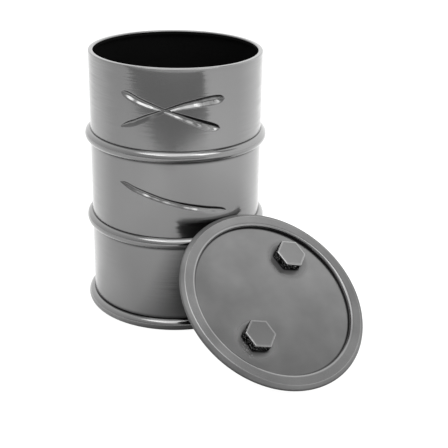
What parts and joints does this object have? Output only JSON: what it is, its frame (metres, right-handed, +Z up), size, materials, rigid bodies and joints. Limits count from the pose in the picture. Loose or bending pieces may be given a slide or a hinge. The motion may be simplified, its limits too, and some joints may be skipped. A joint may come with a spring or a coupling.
{
  "type": "oil drum",
  "caption": "Open-head steel oil drum with rolling hoops, its recessed lid leaning on the wall and hexagon-headed bungs in the lid.",
  "frame": {"origin": "centre of the drum's base, on the floor it stands on", "axes": "+Z up along the drum's axis, -Y towards the side on which the lid leans"},
  "size_m": [0.6387, 1.1066, 0.889],
  "materials": {
    "drum_paint": "gloss gunmetal enamel",
    "lid_paint": "gloss gunmetal enamel",
    "bung_paint": "satin gunmetal enamel",
    "bare_steel": "zinc-plated, satin",
    "rubber": "matte black"
  },
  "bodies": {
    "drum": {"body_shell": "drum_paint", "upper_hoop": "drum_paint", "lower_hoop": "drum_paint", "foot_ring": "drum_paint", "bottom_head": "drum_paint", "bottom_seam_compound": "rubber"},
    "lid": {"lid_cover": "lid_paint", "lid_gasket": "rubber", "low_bung_flange": "bare_steel", "high_bung_flange": "bare_steel", "low_flange_gasket": "rubber", "high_flange_gasket": "rubber"},
    "low_washer": {"low_bung_gasket": "rubber"},
    "low_bung": {"low_bung": "bung_paint"},
    "high_washer": {"high_bung_gasket": "rubber"},
    "high_bung": {"high_bung": "bung_paint"}
  },
  "joints": [
    {"name": "lid_tip", "type": "hinge", "parent": "drum", "child": "lid", "pos_m": [-0.0137, -0.78822, 0.0112], "axis": [1, 0, 0], "range_deg": [0, 138]},
    {"name": "low_bung_rise", "type": "slide", "parent": "lid", "child": "low_washer", "axis": [0, -0.6018, 0.7986], "range_m": [0, 0.0185]},
    {"name": "low_bung_turn", "type": "hinge", "parent": "low_washer", "child": "low_bung", "pos_m": [-0.144, -0.62283, 0.13584], "axis": [0, -0.6018, 0.7986], "range_deg": [0, 2880]},
    {"name": "high_bung_rise", "type": "slide", "parent": "lid", "child": "high_washer", "axis": [0, -0.6018, 0.7986], "range_m": [0, 0.0185]},
    {"name": "high_bung_turn", "type": "hinge", "parent": "high_washer", "child": "high_bung", "pos_m": [0.1289, -0.4492, 0.26667], "axis": [0, -0.6018, 0.7986], "range_deg": [0, 2880]}
  ],
  "couplings": [
    {"joint": "low_bung_rise", "follows": "low_bung_turn", "m_per_rad": 0.00036749},
    {"joint": "high_bung_rise", "follows": "high_bung_turn", "m_per_rad": 0.00036749}
  ]
}
